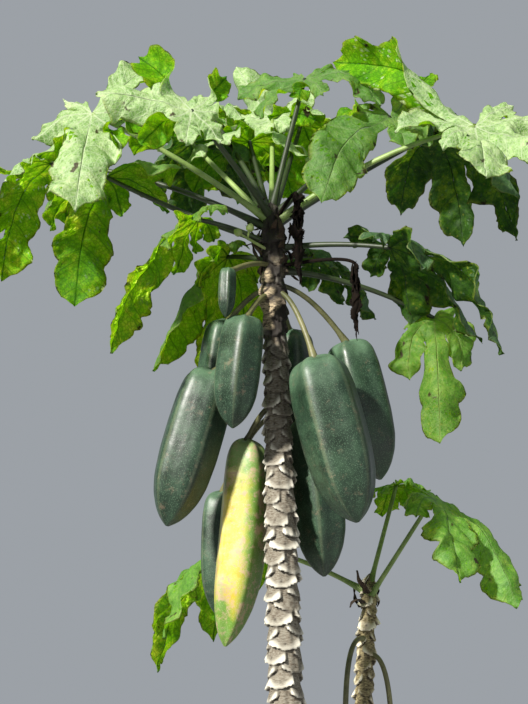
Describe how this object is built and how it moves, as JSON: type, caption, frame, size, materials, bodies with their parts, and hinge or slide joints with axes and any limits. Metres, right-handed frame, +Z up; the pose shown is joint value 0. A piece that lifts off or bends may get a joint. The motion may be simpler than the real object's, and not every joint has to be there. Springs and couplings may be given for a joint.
{
  "type": "babaco plant",
  "caption": "Tall slender scarred trunk with a sucker beside it, a crown of drooping hand-shaped leaves on long stalks, and long ridged fruits hanging below them.",
  "frame": {"origin": "middle of the flat cut under the trunk, at ground level", "axes": "+Z up along the trunk, -Y towards the viewer of the picture, +X to the viewer's right"},
  "size_m": [0.9339, 0.6661, 2.5373],
  "materials": {
    "bark": "rough, ridged with leaf scars",
    "sucker_bark": "rough, scaly",
    "leaf": "matte, veined",
    "unripe_fruit": "waxy satin",
    "ripe_fruit": "waxy satin",
    "dry_leaf": "dry, crumpled",
    "bud": "smooth"
  },
  "bodies": {
    "root": {"main_trunk": "bark", "sucker_stem": "sucker_bark", "fruit_01": "unripe_fruit", "fruit_02": "unripe_fruit", "fruit_03": "unripe_fruit", "fruit_04": "ripe_fruit", "fruit_05": "unripe_fruit", "fruit_06": "unripe_fruit", "fruit_07": "unripe_fruit", "fruit_08": "unripe_fruit", "fruit_09": "unripe_fruit", "fruit_10": "unripe_fruit", "sucker_fruit_01": "unripe_fruit", "sucker_fruit_02": "unripe_fruit", "leaf_01": "leaf", "leaf_02": "leaf", "leaf_03": "leaf", "leaf_04": "leaf", "leaf_05": "leaf", "leaf_06": "leaf", "leaf_07": "leaf", "leaf_08": "leaf", "leaf_09": "leaf", "leaf_10": "leaf", "leaf_11": "leaf", "leaf_12": "leaf", "leaf_13": "leaf", "leaf_14": "leaf", "leaf_15": "leaf", "leaf_16": "leaf", "leaf_17": "leaf", "leaf_18": "leaf", "leaf_19": "leaf", "sucker_leaf_01": "leaf", "sucker_leaf_02": "leaf", "sucker_leaf_03": "leaf", "withered_leaf_01": "dry_leaf", "withered_leaf_02": "dry_leaf", "flower_buds": "bud"}
  },
  "joints": []
}
